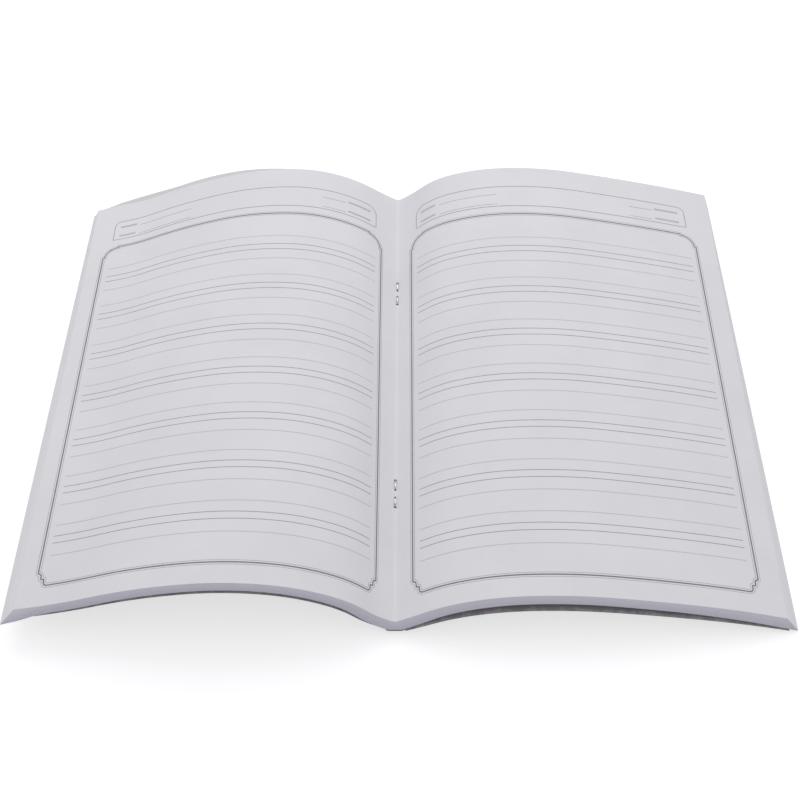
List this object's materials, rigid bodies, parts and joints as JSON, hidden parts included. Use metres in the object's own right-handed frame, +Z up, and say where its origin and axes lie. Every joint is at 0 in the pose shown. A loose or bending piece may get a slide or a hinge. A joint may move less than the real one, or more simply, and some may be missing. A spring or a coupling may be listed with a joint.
{
  "type": "open notebook",
  "caption": "Stapled exercise notebook lying open at its centre spread, leaves arched on both sides of the fold, card cover hinged at its creases.",
  "frame": {"origin": "the centre of the flat under the cover's fold, 2.6 mm above the table that the fore-edge corners lie on", "axes": "+X across the spread to the right, +Y up the page from tail to head, +Z up, away from the table"},
  "size_m": [0.2776, 0.2126, 0.0351],
  "materials": {
    "paper": "uncoated",
    "card": "matte",
    "staple_wire": "drawn wire"
  },
  "bodies": {
    "book": {"pages": "paper", "cover_spine": "card", "upper_staple": "staple_wire", "lower_staple": "staple_wire"},
    "front": {"front_cover": "card"},
    "back": {"back_cover": "card"}
  },
  "joints": [
    {"name": "front_cover_hinge", "type": "hinge", "parent": "book", "child": "front", "pos_m": [-0.00366, 0, 0.00047], "axis": [0, -1, 0], "range_deg": [0, 85]},
    {"name": "back_cover_hinge", "type": "hinge", "parent": "book", "child": "back", "pos_m": [0.00366, 0, 0.00047], "axis": [0, 1, 0], "range_deg": [0, 85]}
  ]
}
